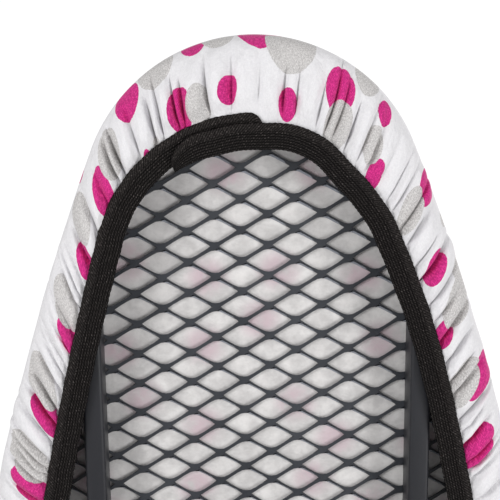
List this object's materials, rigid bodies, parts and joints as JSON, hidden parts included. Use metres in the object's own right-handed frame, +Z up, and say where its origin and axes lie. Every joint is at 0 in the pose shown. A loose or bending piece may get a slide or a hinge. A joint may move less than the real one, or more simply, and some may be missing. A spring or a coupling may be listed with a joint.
{
  "type": "ironing board",
  "caption": "Folding ironing board with a tapered mesh deck, padded cotton cover on an elastic edge, scissor legs, sliding height lock and iron rest.",
  "frame": {"origin": "centre of the footprint, on the floor", "axes": "+X along the board towards its nose, +Y across it to the left, +Z up; the board stands open at full height"},
  "size_m": [1.34, 0.38, 0.9157],
  "materials": {
    "slate_paint": "satin slate-grey powder coat",
    "anthracite_paint": "satin anthracite powder coat over sheared mesh",
    "zinc_plate": "bright zinc plate",
    "spring_steel": "oiled spring wire",
    "black_plastic": "fine spark texture",
    "foot_rubber": "matte, moulded",
    "silicone": "satin silicone",
    "soft_grip": "matte, ribbed",
    "felt": "needled felt, undyed",
    "dotted_cotton": "white cotton with magenta and silver-grey dots",
    "elastic_knit": "ribbed knitted elastic"
  },
  "bodies": {
    "board": {"rim_tube": "slate_paint", "mesh_panel": "anthracite_paint", "left_rail": "slate_paint", "right_rail": "slate_paint", "front_strut": "slate_paint", "guide_bracket_front": "slate_paint", "guide_bracket_rear": "slate_paint", "guide_rod": "zinc_plate", "pivot_bearing_left": "black_plastic", "pivot_bearing_right": "black_plastic", "bearing_screws": "zinc_plate", "pivot_bolts": "zinc_plate", "felt_pad": "felt", "cover": "dotted_cotton", "elastic_binding": "elastic_knit", "iron_rest": "anthracite_paint", "iron_rest_sleeves": "silicone"},
    "pivot_leg": {"pivot_leg_tube_left": "slate_paint", "pivot_leg_tube_right": "slate_paint", "pivot_leg_plugs": "black_plastic", "pivot_leg_foot_bar": "slate_paint", "pivot_leg_foot_cap_left": "foot_rubber", "pivot_leg_foot_cap_right": "foot_rubber", "scissor_axle": "zinc_plate", "scissor_spacers": "black_plastic", "scissor_nuts": "zinc_plate"},
    "slide_leg": {"slide_leg_tube_left": "slate_paint", "slide_leg_tube_right": "slate_paint", "slide_leg_top_bar": "slate_paint", "slide_leg_bar_caps": "black_plastic", "slide_leg_foot_bar": "slate_paint", "slide_leg_foot_cap_left": "foot_rubber", "slide_leg_foot_cap_right": "foot_rubber"},
    "carriage": {"slide_shoe_left": "black_plastic", "slide_shoe_right": "black_plastic", "lock_housing": "black_plastic", "fulcrum_pin": "zinc_plate", "lock_spring": "spring_steel"},
    "lever": {"lock_lever": "zinc_plate", "lever_grip": "soft_grip"}
  },
  "joints": [
    {"name": "legs_fold", "type": "hinge", "parent": "board", "child": "pivot_leg", "pos_m": [0.353, 0, 0.86111], "axis": [0, 1, 0], "range_deg": [0, 52]},
    {"name": "scissor_turn", "type": "hinge", "parent": "pivot_leg", "child": "slide_leg", "pos_m": [0.12582, 0, 0.57034], "axis": [0, 1, 0], "range_deg": [-104, 0]},
    {"name": "carriage_turn", "type": "hinge", "parent": "slide_leg", "child": "carriage", "pos_m": [-0.10136, 0, 0.86111], "axis": [0, 1, 0], "range_deg": [0, 52]},
    {"name": "lever_squeeze", "type": "hinge", "parent": "carriage", "child": "lever", "pos_m": [-0.13336, 0.016, 0.89111], "axis": [0, 0, 1], "range_deg": [0, 6], "stiffness_Nm_per_rad": 30, "springref_deg": -1.72, "deforming": ["lock_spring"]}
  ],
  "couplings": [
    {"joint": "scissor_turn", "follows": "legs_fold", "ratio": -2},
    {"joint": "carriage_turn", "follows": "legs_fold", "ratio": 1}
  ]
}
